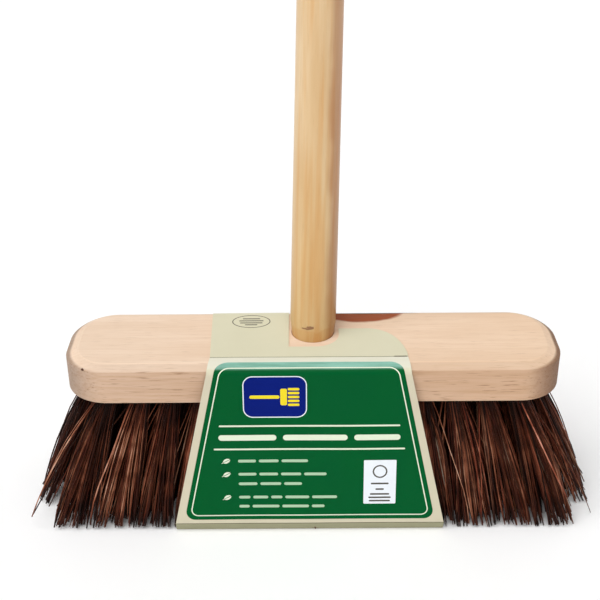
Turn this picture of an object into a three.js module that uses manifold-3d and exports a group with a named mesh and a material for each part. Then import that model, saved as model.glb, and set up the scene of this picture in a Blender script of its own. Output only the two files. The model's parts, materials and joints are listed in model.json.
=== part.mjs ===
// A wooden push broom: a rounded wooden stock filled with tufts of stiff natural fibre, a raked
// wooden handle pushed into a tapered socket, and the printed card sleeve it is sold in.
// Millimetres, +Z up. The origin is on the floor under the middle of the head. X runs along the
// head, and the handle leans back towards +Y.
import * as THREE from "three";
import { mergeVertices } from "three/addons/utils/BufferGeometryUtils.js";
import Module from "manifold-3d";

const wasm = await Module();
wasm.setup();

// Driving dimensions
const STOCK_LENGTH = 305;
const STOCK_DEPTH = 70;
const STOCK_HEIGHT = 25;
const STOCK_CORNER = 27.5;
const STOCK_BEVEL_WIDTH = 6;
const STOCK_BEVEL_DROP = 3;
const FIBRE_LENGTH = 87; // from the stock's underside to the floor
const TUFT_PITCH = 19;
const ROW_PITCH = 16;
const OUTER_ROW_TUFTS = 14;
const INNER_ROW_TUFTS = 15; // the middle one is left out under the handle's socket
const HANDLE_RADIUS = 14.3;
const HANDLE_LENGTH = 1220;
const HANDLE_RAKE = THREE.MathUtils.degToRad(19); // back from upright
const HANDLE_LEAN = THREE.MathUtils.degToRad(1.8); // to the right, as the socket was drilled
const FIT_GAP = 0.3;

const UNDERSIDE_Z = FIBRE_LENGTH;
const STOCK_TOP_Z = FIBRE_LENGTH + STOCK_HEIGHT;

// ---- Solids ------------------------------------------------------------------------------------

// A closed three.js geometry as a manifold-3d solid, in the frame that its matrix puts it in.
function solidOf(geometry, matrix = new THREE.Matrix4()) {
  const bare = new THREE.BufferGeometry();
  bare.setAttribute("position", geometry.getAttribute("position").clone());
  if (geometry.index) bare.setIndex(geometry.index.clone());
  const merged = mergeVertices(bare.applyMatrix4(matrix), 1e-4);
  return new wasm.Manifold(
    new wasm.Mesh({
      numProp: 3,
      vertProperties: new Float32Array(merged.attributes.position.array),
      triVerts: new Uint32Array(merged.index.array),
    }),
  );
}

function geometryOf(solid) {
  const mesh = solid.getMesh();
  const geometry = new THREE.BufferGeometry();
  geometry.setAttribute("position", new THREE.BufferAttribute(mesh.vertProperties, 3));
  geometry.setIndex(new THREE.BufferAttribute(mesh.triVerts, 1));
  geometry.computeVertexNormals();
  return geometry;
}

// ---- Tuft layout -------------------------------------------------------------------------------

const TUFT_HOLE_RADIUS = 4.3;
const TUFT_HOLE_DEPTH = 16.5;
const TUFT_SIDES = 12;
const TIP_Z = 0.9; // the trimmed ends stand on the card sleeve
const TIP_GAP = 0.6;
const TIP_SQUARENESS = 0.62; // 1 is an ellipse, and 0 a rectangle
const ROW_SPREAD = 1.48; // the fan from front to back, as a ratio of tip to root
const FAN_BASE = 1.147; // the fan along the head, which grows towards its ends
const FAN_GROWTH = 5.7e-6;

const fanned = (x) => x * (FAN_BASE + FAN_GROWTH * x * x);
const fannedSpacing = (x) => TUFT_PITCH * (FAN_BASE + 3 * FAN_GROWTH * x * x);

// Where each tuft leaves the underside, where its trimmed end stands and how wide that end is.
function tuftLayout() {
  const tufts = [];
  for (let row = 0; row < 4; row++) {
    const inner = row === 1 || row === 2;
    const count = inner ? INNER_ROW_TUFTS : OUTER_ROW_TUFTS;
    const y = (row - 1.5) * ROW_PITCH;
    let number = 0;
    for (let i = 0; i < count; i++) {
      const x = (i - (count - 1) / 2) * TUFT_PITCH;
      if (inner && x === 0) continue;
      number += 1;
      tufts.push({
        name: `tuft_row${row + 1}_${String(number).padStart(2, "0")}`,
        root: new THREE.Vector3(x, y, UNDERSIDE_Z),
        tip: new THREE.Vector3(fanned(x), y * ROW_SPREAD, TIP_Z),
        halfWidth: (fannedSpacing(x) - TIP_GAP) / 2,
        halfDepth: (ROW_PITCH * ROW_SPREAD - TIP_GAP) / 2,
      });
    }
  }
  return tufts;
}

// The point on a tuft's middle line at height z, inside its hole or below it.
function tuftLineAt(tuft, z) {
  const share = (UNDERSIDE_Z - z) / (UNDERSIDE_Z - TIP_Z);
  return new THREE.Vector3().lerpVectors(tuft.root, tuft.tip, share);
}

const tufts = tuftLayout();

// ---- Handle and its socket ---------------------------------------------------------------------

const SOCKET_BACK_OFFSET = 7; // the mouth's middle, behind the stock's middle
const SOCKET_DEPTH = 19;
const TAPER_TIP_RADIUS = 11.3;
const TAPER_LENGTH = 26;
const TIP_CHAMFER = 1;
const DOME_HEIGHT = 9;
const ROUND_SIDES = 32;

// The handle's own frame: its middle line is Z, and zero is where that line meets the stock's top.
const handleFrame = new THREE.Matrix4()
  .makeRotationFromEuler(new THREE.Euler(-HANDLE_RAKE, HANDLE_LEAN, 0, "YXZ"))
  .setPosition(0, SOCKET_BACK_OFFSET, STOCK_TOP_Z);

// A lathe about Z from a profile of [radius, height] points that starts and ends on the axis.
function turned(profile) {
  const points = profile.map(([radius, height]) => new THREE.Vector2(radius, height));
  return new THREE.LatheGeometry(points, ROUND_SIDES).rotateX(Math.PI / 2);
}

function handleGeometry() {
  const top = HANDLE_LENGTH - SOCKET_DEPTH;
  const dome = [];
  for (let i = 1; i <= 5; i++) {
    const angle = (i / 6) * (Math.PI / 2);
    dome.push([HANDLE_RADIUS * Math.cos(angle), top - DOME_HEIGHT + DOME_HEIGHT * Math.sin(angle)]);
  }
  return turned([
    [0, -SOCKET_DEPTH],
    [TAPER_TIP_RADIUS - TIP_CHAMFER, -SOCKET_DEPTH],
    [TAPER_TIP_RADIUS, TIP_CHAMFER - SOCKET_DEPTH],
    [HANDLE_RADIUS, TAPER_LENGTH - SOCKET_DEPTH],
    [HANDLE_RADIUS, top - DOME_HEIGHT],
    ...dome,
    [0, top],
  ]);
}

// The socket follows the handle's taper with a small gap, and runs out past the stock's top.
function socketGeometry() {
  return turned([
    [0, -SOCKET_DEPTH - FIT_GAP],
    [TAPER_TIP_RADIUS + FIT_GAP, -SOCKET_DEPTH - FIT_GAP],
    [HANDLE_RADIUS + FIT_GAP, TAPER_LENGTH - SOCKET_DEPTH],
    [HANDLE_RADIUS + FIT_GAP, STOCK_HEIGHT],
    [0, STOCK_HEIGHT],
  ]);
}

// ---- Stock -------------------------------------------------------------------------------------

function stockOutline() {
  const x = STOCK_LENGTH / 2 - STOCK_CORNER;
  const y = STOCK_DEPTH / 2 - STOCK_CORNER;
  const outline = new THREE.Shape();
  outline.absarc(x, y, STOCK_CORNER, 0, Math.PI / 2);
  outline.absarc(-x, y, STOCK_CORNER, Math.PI / 2, Math.PI);
  outline.absarc(-x, -y, STOCK_CORNER, Math.PI, 1.5 * Math.PI);
  outline.absarc(x, -y, STOCK_CORNER, 1.5 * Math.PI, 2 * Math.PI);
  return outline;
}

// The slab is extruded with a bevel at both ends, and the lower bevel is cut off at the underside.
function stockBlank() {
  const slab = new THREE.ExtrudeGeometry(stockOutline(), {
    depth: STOCK_HEIGHT,
    bevelThickness: STOCK_BEVEL_DROP,
    bevelSize: STOCK_BEVEL_WIDTH,
    bevelOffset: -STOCK_BEVEL_WIDTH,
    bevelSegments: 1,
    curveSegments: 10,
  }).translate(0, 0, STOCK_TOP_Z - STOCK_BEVEL_DROP - STOCK_HEIGHT);
  const waste = new THREE.BoxGeometry(2 * STOCK_LENGTH, 2 * STOCK_DEPTH, 2 * STOCK_BEVEL_DROP);
  waste.translate(0, 0, UNDERSIDE_Z - STOCK_BEVEL_DROP);
  return solidOf(slab).subtract(solidOf(waste));
}

// A tuft's hole leans with the tuft, so the fan is drilled into the stock.
function tuftHole(tuft) {
  const direction = new THREE.Vector3().subVectors(tuft.root, tuft.tip).normalize();
  const drill = new THREE.CylinderGeometry(
    TUFT_HOLE_RADIUS,
    TUFT_HOLE_RADIUS,
    2 * TUFT_HOLE_DEPTH,
    TUFT_SIDES,
  );
  const turn = new THREE.Quaternion().setFromUnitVectors(new THREE.Vector3(0, 1, 0), direction);
  const size = new THREE.Vector3(1, 1, 1);
  return solidOf(drill, new THREE.Matrix4().compose(tuft.root, turn, size));
}

function stockGeometry() {
  let stock = stockBlank().subtract(solidOf(socketGeometry(), handleFrame));
  for (const tuft of tufts) stock = stock.subtract(tuftHole(tuft));
  return geometryOf(stock);
}

// ---- Tufts -------------------------------------------------------------------------------------

const ROOT_RADIUS = 3.8;
const ROOT_Z = UNDERSIDE_Z + 13.5; // where the fibres fold over, near the bottom of the hole

// A round bundle that fills its hole, and spreads below it to a squarish trimmed end.
function tuftGeometry(tuft) {
  const bundle = new THREE.CylinderGeometry(1, 1, 1, TUFT_SIDES, 2).rotateX(Math.PI / 2);
  const square = (value) => Math.sign(value) * Math.abs(value) ** TIP_SQUARENESS;
  const position = bundle.getAttribute("position");
  for (let i = 0; i < position.count; i++) {
    const across = position.getX(i);
    const along = position.getY(i);
    if (position.getZ(i) < -0.25) {
      const x = tuft.tip.x + tuft.halfWidth * square(across);
      const y = tuft.tip.y + tuft.halfDepth * square(along);
      position.setXYZ(i, x, y, TIP_Z);
    } else {
      const middle = tuftLineAt(tuft, position.getZ(i) > 0.25 ? ROOT_Z : UNDERSIDE_Z);
      position.setXYZ(i, middle.x + ROOT_RADIUS * across, middle.y + ROOT_RADIUS * along, middle.z);
    }
  }
  return bundle;
}

// ---- Card sleeve -------------------------------------------------------------------------------

const CARD_THICKNESS = 0.5;
const CARD_SHIFT = -2.7; // the sleeve sits a little left of the middle
const CARD_TOP_HALF = 59.8;
const CARD_BOTTOM_HALF = 84.2;
const CARD_BEND_START = 24.5; // from the middle to where the card turns down over the stock's edge
const CARD_BEND_DROP = 6;
const CARD_FRONT_TOP = 36.6; // from the middle to the top of the upright panels
const CARD_FRONT_BOTTOM = 50;
const CARD_HEM_HEIGHT = 6;
const CARD_FOOT = 48; // from the middle to the lower fold
const NOTCH_LEFT = -15; // the notch that the handle stands in
const NOTCH_RIGHT = 18;
const NOTCH_FRONT = -11;
const NOTCH_CORNER = 16.5;
const EAR_BACK = 9.5; // the right-hand ear stops short of the stock's back edge
const EAR_FLAT_END = 35;
const EAR_ROUNDING = new THREE.Vector2(50, 3);
const EAR_FRONT = -20;
const NOTCH_BACK_DROP = 8; // how far down the back the sleeve is cut away

// The sleeve's closed section, seen along X, at a distance outside its inner face.
function sleeveSection(outside) {
  const top = STOCK_TOP_Z + FIT_GAP + outside;
  const shoulder = STOCK_TOP_Z - CARD_BEND_DROP;
  const front = CARD_FRONT_TOP + outside;
  const knee = CARD_FRONT_BOTTOM + outside;
  const foot = CARD_FOOT + outside;
  const floor = CARD_THICKNESS - outside;
  const section = new THREE.Shape();
  section.moveTo(-CARD_BEND_START, top);
  section.quadraticCurveTo(-front, top, -front, shoulder);
  section.lineTo(-knee, CARD_HEM_HEIGHT);
  section.lineTo(-foot, floor);
  section.lineTo(foot, floor);
  section.lineTo(knee, CARD_HEM_HEIGHT);
  section.lineTo(front, shoulder);
  section.quadraticCurveTo(front, top, CARD_BEND_START, top);
  section.closePath();
  return section;
}

// The front view of the sleeve: straight over the stock and flared down to the floor.
function sleeveFace() {
  const face = new THREE.Shape();
  face.moveTo(-CARD_BOTTOM_HALF, -1);
  face.lineTo(CARD_BOTTOM_HALF, -1);
  face.lineTo(CARD_TOP_HALF, STOCK_TOP_Z + 2);
  face.lineTo(-CARD_TOP_HALF, STOCK_TOP_Z + 2);
  face.closePath();
  return face;
}

// What is cut from the top panel: the handle's notch, and all that lies behind the right-hand ear.
function handleNotch() {
  const earSide = CARD_SHIFT + CARD_TOP_HALF;
  const arcX = NOTCH_RIGHT - NOTCH_CORNER;
  const arcY = NOTCH_FRONT + NOTCH_CORNER;
  const cut = new THREE.Shape();
  cut.moveTo(NOTCH_LEFT, STOCK_DEPTH);
  cut.lineTo(NOTCH_LEFT, NOTCH_FRONT);
  cut.absarc(arcX, arcY, NOTCH_CORNER, -Math.PI / 2, 0);
  cut.lineTo(NOTCH_RIGHT, EAR_BACK);
  cut.lineTo(EAR_FLAT_END, EAR_BACK);
  cut.quadraticCurveTo(EAR_ROUNDING.x, EAR_ROUNDING.y, earSide, EAR_FRONT);
  cut.lineTo(2 * CARD_BOTTOM_HALF, EAR_FRONT);
  cut.lineTo(2 * CARD_BOTTOM_HALF, STOCK_DEPTH);
  cut.closePath();
  return cut;
}

function sleeveGeometry() {
  const length = 3 * CARD_BOTTOM_HALF;
  const loop = sleeveSection(CARD_THICKNESS);
  loop.holes.push(sleeveSection(0));
  const tube = new THREE.ExtrudeGeometry(loop, {
    depth: length,
    bevelEnabled: false,
    curveSegments: 8,
  });
  tube.rotateX(Math.PI / 2).rotateZ(Math.PI / 2).translate(CARD_SHIFT - length / 2, 0, 0);
  const depth = 4 * CARD_FRONT_BOTTOM;
  const flare = new THREE.ExtrudeGeometry(sleeveFace(), { depth, bevelEnabled: false });
  flare.rotateX(Math.PI / 2).translate(CARD_SHIFT, depth / 2, 0);
  const notch = new THREE.ExtrudeGeometry(handleNotch(), {
    depth: 2 * NOTCH_BACK_DROP,
    bevelEnabled: false,
    curveSegments: 8,
  }).translate(0, 0, STOCK_TOP_Z - NOTCH_BACK_DROP);
  return geometryOf(solidOf(tube).intersect(solidOf(flare)).subtract(solidOf(notch)));
}

// ---- Materials and assembly --------------------------------------------------------------------

const materials = {
  stockWood: new THREE.MeshStandardMaterial({ color: 0xead2b8, roughness: 0.75, metalness: 0 }),
  handleWood: new THREE.MeshStandardMaterial({ color: 0xd3ab6e, roughness: 0.45, metalness: 0 }),
  fibre: new THREE.MeshStandardMaterial({ color: 0x3b1c10, roughness: 0.6, metalness: 0 }),
  card: new THREE.MeshStandardMaterial({ color: 0xd9d4b4, roughness: 0.55, metalness: 0 }),
};

function named(name, geometry, material) {
  const mesh = new THREE.Mesh(geometry, material);
  mesh.name = name;
  return mesh;
}

const broom = new THREE.Group();
broom.add(named("broom_stock", stockGeometry(), materials.stockWood));

const handle = named("handle", handleGeometry(), materials.handleWood);
handle.applyMatrix4(handleFrame);
broom.add(handle);

for (const tuft of tufts) broom.add(named(tuft.name, tuftGeometry(tuft), materials.fibre));

broom.add(named("card_sleeve", sleeveGeometry(), materials.card));

export default broom;
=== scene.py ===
import json
import math
import random

import bmesh
import bpy
from mathutils import Matrix, Vector, noise
from mathutils.geometry import interpolate_bezier


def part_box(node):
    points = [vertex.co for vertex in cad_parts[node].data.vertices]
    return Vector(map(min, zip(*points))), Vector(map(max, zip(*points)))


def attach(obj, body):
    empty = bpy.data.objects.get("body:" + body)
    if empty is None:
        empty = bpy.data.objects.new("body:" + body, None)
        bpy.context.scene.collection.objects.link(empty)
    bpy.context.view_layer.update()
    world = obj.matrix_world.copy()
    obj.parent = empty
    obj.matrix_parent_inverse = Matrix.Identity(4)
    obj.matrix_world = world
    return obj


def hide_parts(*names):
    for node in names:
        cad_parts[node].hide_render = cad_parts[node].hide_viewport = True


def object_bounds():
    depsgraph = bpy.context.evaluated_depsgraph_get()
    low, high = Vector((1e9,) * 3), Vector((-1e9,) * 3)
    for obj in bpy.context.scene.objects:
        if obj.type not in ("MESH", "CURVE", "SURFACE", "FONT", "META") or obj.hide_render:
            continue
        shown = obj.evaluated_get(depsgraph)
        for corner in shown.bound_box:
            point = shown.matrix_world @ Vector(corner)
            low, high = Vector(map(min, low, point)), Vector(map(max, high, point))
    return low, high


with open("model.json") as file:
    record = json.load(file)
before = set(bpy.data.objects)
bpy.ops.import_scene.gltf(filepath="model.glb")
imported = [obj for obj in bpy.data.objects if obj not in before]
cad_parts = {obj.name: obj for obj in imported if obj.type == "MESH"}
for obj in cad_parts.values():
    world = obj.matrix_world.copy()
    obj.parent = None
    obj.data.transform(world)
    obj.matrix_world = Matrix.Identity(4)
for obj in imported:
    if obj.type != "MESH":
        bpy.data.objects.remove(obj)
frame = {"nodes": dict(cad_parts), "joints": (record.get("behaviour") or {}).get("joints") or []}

cad_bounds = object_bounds()

# ---- The stand and the light -------------------------------------------------------------------
# The broom stands on a plain white studio floor, which curves up into a low wall all round it.
# A very wide soft lamp hangs above it to the left, and the pale room fills the shadows.

FLOOR_REACH = 5.5
COVE_RADIUS = 2.5
WALL_HEIGHT = 4.2
COVE_STEPS = 12
FLOOR_SIDES = 96
FLOOR_DROP = 0.0002
FLOOR_COLOUR = (0.98, 0.98, 0.98, 1)
ROOM_STRENGTH = 0.24
LAMP_FROM = Vector((-0.32, -0.36, 1.0))
LAMP_STRENGTH = 2.57
LAMP_SPREAD = math.radians(65)
CAMERA_LENS = 66.48
CAMERA_FROM_STOCK = Vector((-0.0076, -0.5938, 0.3524))
CAMERA_TURN_DEGREES = (61.226, 0.334, -0.155)

stock_low, stock_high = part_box("broom_stock")
stock_middle = (stock_low + stock_high) / 2
stock_top = Vector((stock_middle.x, stock_middle.y, stock_high.z))


def add_node(tree, kind, inputs=None, **settings):
    """A shader node with its settings, and its inputs set to values or linked to sockets."""
    made = tree.nodes.new(kind)
    for name, value in settings.items():
        setattr(made, name, value)
    for socket, value in (inputs or {}).items():
        if isinstance(value, bpy.types.NodeSocket):
            tree.links.new(value, made.inputs[socket])
        else:
            made.inputs[socket].default_value = value
    return made


def new_material(name, **constants):
    """A material, its node tree and its Principled BSDF, with the BSDF's constant sockets set."""
    material = bpy.data.materials.new(name)
    material.use_nodes = True
    shader = material.node_tree.nodes["Principled BSDF"]
    for socket, value in constants.items():
        shader.inputs[socket.replace("_", " ")].default_value = value
    return material, material.node_tree, shader


camera_data = bpy.data.cameras.new("view")
camera_data.lens = CAMERA_LENS
camera_data.clip_end = 30
camera = bpy.data.objects.new("view", camera_data)
camera.location = stock_top + CAMERA_FROM_STOCK
camera.rotation_euler = [math.radians(degrees) for degrees in CAMERA_TURN_DEGREES]
bpy.context.scene.collection.objects.link(camera)
bpy.context.scene.camera = camera
bpy.context.scene.view_settings.view_transform = "Standard"

floor_profile = [(0, 0), (FLOOR_REACH, 0)]
for step in range(1, COVE_STEPS + 1):
    rise = math.radians(90 * step / COVE_STEPS)
    reach = FLOOR_REACH + COVE_RADIUS * math.sin(rise)
    floor_profile.append((reach, COVE_RADIUS * (1 - math.cos(rise))))
floor_profile.append((FLOOR_REACH + COVE_RADIUS, WALL_HEIGHT))
floor_bm = bmesh.new()
floor_verts = [floor_bm.verts.new((reach, 0, height - FLOOR_DROP)) for reach, height in floor_profile]
for here, there in zip(floor_verts, floor_verts[1:]):
    floor_bm.edges.new((here, there))
bmesh.ops.spin(
    floor_bm, geom=floor_bm.verts[:] + floor_bm.edges[:], axis=(0, 0, 1), cent=(0, 0, 0),
    angle=math.tau, steps=FLOOR_SIDES, use_merge=True,
)
bmesh.ops.remove_doubles(floor_bm, verts=floor_bm.verts, dist=1e-5)
floor_mesh = bpy.data.meshes.new("floor")
floor_bm.to_mesh(floor_mesh)
floor_mesh.shade_smooth()
floor = bpy.data.objects.new("floor", floor_mesh)
bpy.context.scene.collection.objects.link(floor)
floor_mesh.materials.append(new_material("floor", Base_Color=FLOOR_COLOUR, Roughness=0.9)[0])

room = bpy.data.worlds.new("room")
room.use_nodes = True
room.node_tree.nodes["Background"].inputs["Color"].default_value = (1, 1, 1, 1)
room.node_tree.nodes["Background"].inputs["Strength"].default_value = ROOM_STRENGTH
bpy.context.scene.world = room

lamp_data = bpy.data.lights.new("soft_lamp", "SUN")
lamp_data.energy = LAMP_STRENGTH
lamp_data.angle = LAMP_SPREAD
lamp = bpy.data.objects.new("soft_lamp", lamp_data)
lamp.rotation_euler = LAMP_FROM.to_track_quat("Z", "Y").to_euler()
bpy.context.scene.collection.objects.link(lamp)

# ---- Wooden stock ------------------------------------------------------------------------------
# One block of pale close-grained hardwood, sawn, rounded at its ends, bevelled along the top and
# sanded but not varnished. It is drilled below for the tufts and above for the handle.

CORNER_RADIUS = 0.0275
EDGE_WIDTH = 0.006
EDGE_DROP = 0.003
END_EXTRA_WIDTH = 0.0022
END_EXTRA_DROP = 0.0016
TUFT_HOLE_RADIUS = 0.0043
TUFT_HOLE_DEPTH = 0.0165
SOCKET_MOUTH = stock_top + Vector((0, 0.007, 0))
SOCKET_DEPTH = 0.0193
SOCKET_RADIUS = 0.0146
SOCKET_TIP_RADIUS = 0.0116
STOCK_PALE = (0.85, 0.665, 0.515, 1)
STOCK_DARK = (0.73, 0.52, 0.36, 1)
STOCK_PORE = (0.40, 0.23, 0.13, 1)
BEVEL_TINT = (0.88, 0.865, 0.86, 1)
SIDE_SHADE_TINT = (0.81, 0.725, 0.67, 1)
END_SHADE_TINT = (0.61, 0.64, 0.69, 1)
RIGHT_END_SHADE_TINT = (0.62, 0.50, 0.42, 1)
KNOT_COLOUR = (0.34, 0.085, 0.030, 1)
KNOT_RIM_COLOUR = (0.075, 0.026, 0.010, 1)
WARM_END_TINT = (0.985, 0.94, 0.88, 1)
KNOT_RADII = (0.029, 0.0150, 0.012)
SEAM_RADII = (0.033, 0.0060, 0.012)
BEVEL_SPOT_RADII = (0.0020, 0.0030, 0.0009)

handle_axis = Vector(frame["joints"][0]["axis"])
tuft_nodes = sorted(name for name in frame["nodes"] if name.startswith("tuft_"))


def tuft_ends(node):
    """A tuft's folded end in the stock, and the lowest and highest corner of its trimmed end."""
    corners = [v.co for v in frame["nodes"][node].data.vertices]
    top = max(corner.z for corner in corners)
    bottom = min(corner.z for corner in corners)
    fold = [corner for corner in corners if corner.z > top - 1e-4]
    root = sum(fold, Vector()) / len(fold)
    end = [corner for corner in corners if corner.z < bottom + 1e-4]
    low = Vector((min(c.x for c in end), min(c.y for c in end), bottom))
    high = Vector((max(c.x for c in end), max(c.y for c in end), bottom))
    return root, low, high


def add_piece(name, bm, material, body, slot, *nodes):
    """Makes a bmesh into a piece that rides on a body and stands for the named CAD nodes."""
    mesh = bpy.data.meshes.new(name)
    bm.to_mesh(mesh)
    bm.free()
    mesh.materials.append(material)
    mesh.shade_smooth()
    piece = bpy.data.objects.new(name, mesh)
    bpy.context.scene.collection.objects.link(piece)
    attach(piece, body)
    if nodes:
        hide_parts(*nodes)
    return piece


def add_modifier(piece, kind, **settings):
    modifier = piece.modifiers.new(kind.title(), kind)
    for name, value in settings.items():
        setattr(modifier, name, value)
    return modifier


def stock_block():
    bm = bmesh.new()
    size = Matrix.Diagonal((*(stock_high - stock_low), 1))
    bmesh.ops.create_cube(bm, size=1, matrix=Matrix.Translation(stock_middle) @ size)
    uprights = [e for e in bm.edges if abs(e.verts[0].co.z - e.verts[1].co.z) > EDGE_WIDTH]
    bmesh.ops.bevel(
        bm, geom=uprights, offset=CORNER_RADIUS, segments=24, profile=0.5, affect="EDGES",
        material=-1,
    )
    top = max(bm.faces, key=lambda face: face.calc_center_median().z)
    bmesh.ops.inset_region(bm, faces=[top], thickness=EDGE_WIDTH, use_even_offset=True)
    inner = set(top.verts)
    corner = stock_high - Vector((CORNER_RADIUS, CORNER_RADIUS, 0))
    for vert in [v for v in bm.verts if v.co.z > stock_middle.z]:
        side = Vector((math.copysign(corner.x, vert.co.x), math.copysign(corner.y, vert.co.y), 0))
        outwards = Vector((vert.co.x - side.x, vert.co.y - side.y, 0)).normalized()
        round_the_end = outwards.x ** 2
        if vert in inner:
            vert.co -= outwards * END_EXTRA_WIDTH * round_the_end
        else:
            vert.co.z -= EDGE_DROP + END_EXTRA_DROP * round_the_end
    return bm


def stock_cutters():
    """The drills: one leaning cylinder for each tuft, and the raked tapered socket."""
    bm = bmesh.new()
    for node in tuft_nodes:
        root, low, high = tuft_ends(node)
        end = (low + high) / 2
        mouth = end.lerp(root, (stock_low.z - end.z) / (root.z - end.z))
        turn = (root - end).to_track_quat("Z", "Y").to_matrix().to_4x4()
        bmesh.ops.create_cone(
            bm, cap_ends=True, segments=24, radius1=TUFT_HOLE_RADIUS, radius2=TUFT_HOLE_RADIUS,
            depth=2 * TUFT_HOLE_DEPTH, matrix=Matrix.Translation(mouth) @ turn,
        )
    widening = (SOCKET_RADIUS - SOCKET_TIP_RADIUS) / SOCKET_DEPTH
    turn = handle_axis.to_track_quat("Z", "Y").to_matrix().to_4x4()
    bmesh.ops.create_cone(
        bm, cap_ends=True, segments=64, radius1=SOCKET_TIP_RADIUS,
        radius2=SOCKET_RADIUS + widening * SOCKET_DEPTH * 0.25, depth=2 * SOCKET_DEPTH,
        matrix=Matrix.Translation(SOCKET_MOUTH) @ turn,
    )
    return bm


def arithmetic(tree, operation, a, b=0.0):
    return add_node(tree, "ShaderNodeMath", {0: a, 1: b}, operation=operation).outputs[0]


def remap(tree, value, low, high, to_low=0.0, to_high=1.0):
    """The value's straight way from low to high."""
    return add_node(
        tree, "ShaderNodeMapRange",
        {"Value": value, "From Min": low, "From Max": high, "To Min": to_low, "To Max": to_high},
    ).outputs[0]


def colour_mix(tree, amount, a, b):
    """A colour between a and b, each a socket or a colour."""
    made = add_node(tree, "ShaderNodeMix", {"Factor": amount}, data_type="RGBA")
    for socket, value in ((6, a), (7, b)):
        if isinstance(value, bpy.types.NodeSocket):
            tree.links.new(value, made.inputs[socket])
        else:
            made.inputs[socket].default_value = value
    return made.outputs[2]


def wood_grain_group():
    """Streaks, pores and a broad drift of tone, with the grain running along the vector's X."""
    group = bpy.data.node_groups.new("wood_grain", "ShaderNodeTree")
    face = group.interface
    face.new_socket("Vector", in_out="INPUT", socket_type="NodeSocketVector")
    for name in ("Pale", "Dark", "Pore"):
        face.new_socket(name, in_out="INPUT", socket_type="NodeSocketColor")
    for name in ("Drift", "Streaks", "Pores"):
        face.new_socket(name, in_out="INPUT", socket_type="NodeSocketFloat")
    face.new_socket("Color", in_out="OUTPUT", socket_type="NodeSocketColor")
    face.new_socket("Roughness", in_out="OUTPUT", socket_type="NodeSocketFloat")
    face.new_socket("Height", in_out="OUTPUT", socket_type="NodeSocketFloat")
    given = add_node(group, "NodeGroupInput")
    result = add_node(group, "NodeGroupOutput")

    def stretched_noise(along, across, detail, roughness=0.5):
        scaled = add_node(
            group, "ShaderNodeMapping",
            {"Vector": given.outputs["Vector"], "Scale": (along, across, across)},
        )
        return add_node(
            group, "ShaderNodeTexNoise",
            {"Vector": scaled.outputs[0], "Scale": 1.0, "Detail": detail, "Roughness": roughness},
        ).outputs["Fac"]

    def shown(pattern, amount):
        return arithmetic(group, "MULTIPLY", pattern, given.outputs[amount])

    drift = remap(group, stretched_noise(9, 60, 3), 0.35, 0.68)
    streaks = remap(group, stretched_noise(26, 620, 5, 0.62), 0.45, 0.72)
    dashes = remap(group, stretched_noise(85, 1500, 2), 0.60, 0.74)
    fibres = stretched_noise(60, 2600, 2)
    toned = colour_mix(group, shown(drift, "Drift"), given.outputs["Pale"], given.outputs["Dark"])
    streaked = colour_mix(group, shown(streaks, "Streaks"), toned, given.outputs["Dark"])
    pored = colour_mix(group, shown(dashes, "Pores"), streaked, given.outputs["Pore"])
    group.links.new(pored, result.inputs["Color"])
    group.links.new(remap(group, streaks, 0, 1, 0.60, 0.78), result.inputs["Roughness"])
    group.links.new(arithmetic(group, "SUBTRACT", fibres, dashes), result.inputs["Height"])
    return group


def knot_group():
    """The mask of a knot with a ragged edge, and of the dark rim around it."""
    group = bpy.data.node_groups.new("knot", "ShaderNodeTree")
    face = group.interface
    face.new_socket("Vector", in_out="INPUT", socket_type="NodeSocketVector")
    face.new_socket("Middle", in_out="INPUT", socket_type="NodeSocketVector")
    face.new_socket("Radii", in_out="INPUT", socket_type="NodeSocketVector")
    face.new_socket("Raggedness", in_out="INPUT", socket_type="NodeSocketFloat")
    face.new_socket("Mask", in_out="OUTPUT", socket_type="NodeSocketFloat")
    face.new_socket("Rim", in_out="OUTPUT", socket_type="NodeSocketFloat")
    given = add_node(group, "NodeGroupInput")
    result = add_node(group, "NodeGroupOutput")
    local = add_node(
        group, "ShaderNodeMapping",
        {
            "Vector": given.outputs["Vector"],
            "Location": given.outputs["Middle"],
            "Scale": given.outputs["Radii"],
        },
        vector_type="TEXTURE",
    )
    distance = add_node(group, "ShaderNodeVectorMath", {0: local.outputs[0]}, operation="LENGTH")
    rough = add_node(
        group, "ShaderNodeTexNoise", {"Vector": local.outputs[0], "Scale": 2.5, "Detail": 4.0}
    )
    shift = arithmetic(group, "MULTIPLY", rough.outputs["Fac"], given.outputs["Raggedness"])
    reach = arithmetic(group, "ADD", distance.outputs["Value"], shift)
    group.links.new(remap(group, reach, 1.08, 0.96), result.inputs["Mask"])
    group.links.new(remap(group, reach, 0.70, 1.0), result.inputs["Rim"])
    return group


wood_grain = wood_grain_group()
knot = knot_group()


def add_knot(tree, place, colour, middle, radii, raggedness, inner, rim):
    """The colour with a knot laid over it."""
    mark = add_node(tree, "ShaderNodeGroup", node_tree=knot)
    tree.links.new(place, mark.inputs["Vector"])
    mark.inputs["Middle"].default_value = middle
    mark.inputs["Radii"].default_value = radii
    mark.inputs["Raggedness"].default_value = raggedness
    knot_colour = colour_mix(tree, mark.outputs["Rim"], inner, rim)
    return colour_mix(tree, mark.outputs["Mask"], colour, knot_colour)


def tinted(tree, amount, colour, tint):
    """The colour multiplied by a tint, by an amount."""
    made = add_node(
        tree, "ShaderNodeMix", {"Factor": amount}, data_type="RGBA", blend_type="MULTIPLY"
    )
    tree.links.new(colour, made.inputs[6])
    made.inputs[7].default_value = tint
    return made.outputs[2]


def ramp_between(tree, value, low, high, to_low=0.0, to_high=1.0):
    """The value's way from low to high, eased at both ends."""
    return add_node(
        tree, "ShaderNodeMapRange",
        {"Value": value, "From Min": low, "From Max": high, "To Min": to_low, "To Max": to_high},
        interpolation_type="SMOOTHSTEP",
    ).outputs[0]


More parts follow.
